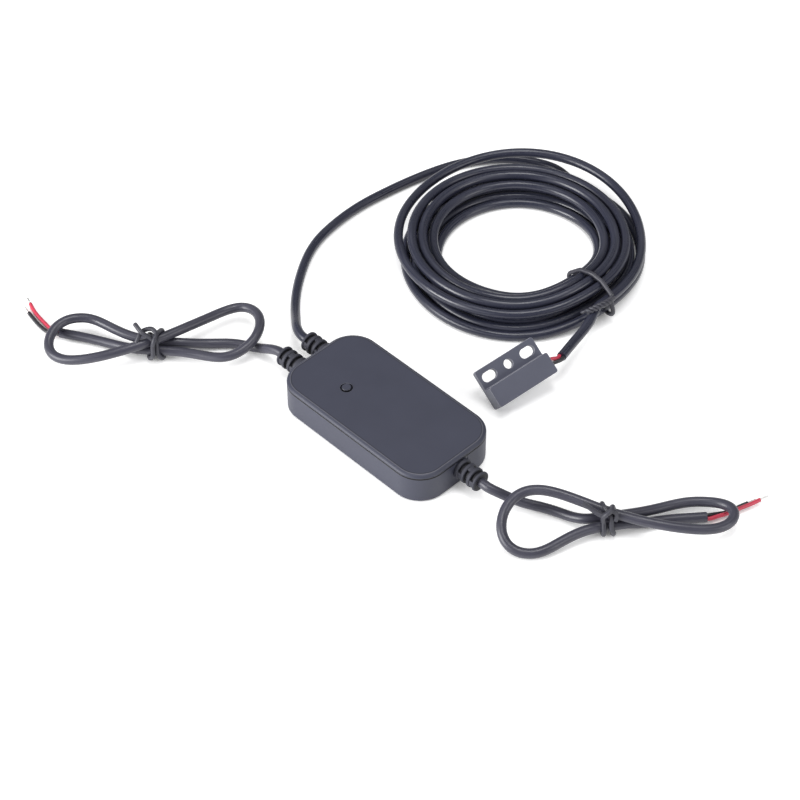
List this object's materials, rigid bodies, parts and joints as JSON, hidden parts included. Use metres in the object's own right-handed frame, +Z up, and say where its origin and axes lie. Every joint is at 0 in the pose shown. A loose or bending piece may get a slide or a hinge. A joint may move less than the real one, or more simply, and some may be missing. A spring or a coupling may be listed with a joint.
{
  "type": "garage door controller",
  "caption": "Flat plastic garage door controller with a push button, slotted strain reliefs, tied hanks of cable with open wire ends and a coiled cable to a flanged reed sensor",
  "frame": {"origin": "Middle of the case's base, on the face that it rests on", "axes": "X runs along the case's long side towards the supply cable, Y towards the coil and the sensor, Z up from the base to the cover"},
  "size_m": [0.2316, 0.1927, 0.0137],
  "materials": {
    "case_plastic": "fine matt moulded plastic",
    "button_plastic": "smooth matt plastic",
    "boot_rubber": "soft satin",
    "jacket_pvc": "satin cable jacket",
    "tie_rubber": "matt tie cord",
    "wire_red": "smooth wire insulation",
    "wire_black": "smooth wire insulation",
    "tinned_metal": "tinned",
    "board_laminate": "solder mask",
    "module_laminate": "solder mask",
    "can_metal": "plain sheet",
    "relay_plastic": "moulded",
    "can_aluminium": "plain can",
    "ferrite": "matt",
    "package_plastic": "moulded",
    "chip_ceramic": "plain",
    "sensor_plastic": "fine matt moulded plastic",
    "potting": "cast compound",
    "reed_glass": "clear"
  },
  "bodies": {
    "controller": {"bottom_case": "case_plastic", "top_cover": "case_plastic", "switch_dome": "can_metal", "switch_base": "package_plastic", "switch_plate": "can_metal", "circuit_board": "board_laminate", "board_screws": "tinned_metal", "wifi_board": "module_laminate", "wifi_shield": "can_metal", "relay": "relay_plastic", "capacitor": "can_aluminium", "inductor": "ferrite", "regulator": "package_plastic", "input_diode": "package_plastic", "chip_parts": "chip_ceramic", "inner_red_wires": "wire_red", "inner_black_wires": "wire_black", "solder_joints": "tinned_metal", "gnd_strain_relief": "boot_rubber", "sensor_strain_relief": "boot_rubber", "dc_strain_relief": "boot_rubber", "gnd_cord_lead": "jacket_pvc", "gnd_cord_hank": "jacket_pvc", "gnd_cord_tail": "jacket_pvc", "gnd_hank_tie": "tie_rubber", "gnd_red_wire": "wire_red", "gnd_black_wire": "wire_black", "dc_cord_lead": "jacket_pvc", "dc_cord_hank": "jacket_pvc", "dc_cord_tail": "jacket_pvc", "dc_hank_tie": "tie_rubber", "dc_red_wire": "wire_red", "dc_black_wire": "wire_black", "tinned_tips": "tinned_metal", "sensor_cord_lead": "jacket_pvc", "sensor_cord_coil": "jacket_pvc", "sensor_cord_tail": "jacket_pvc", "coil_tie": "tie_rubber", "sensor_red_wire": "wire_red", "sensor_black_wire": "wire_black", "sensor_housing": "sensor_plastic", "sensor_potting": "potting", "reed_tube": "reed_glass", "reed_blades": "tinned_metal"},
    "button": {"button_cap": "button_plastic", "switch_plunger": "button_plastic"}
  },
  "joints": [
    {"name": "button_press", "type": "slide", "parent": "controller", "child": "button", "axis": [0, 0, -1], "range_m": [0, 0.0003], "stiffness_N_per_m": 6000}
  ]
}
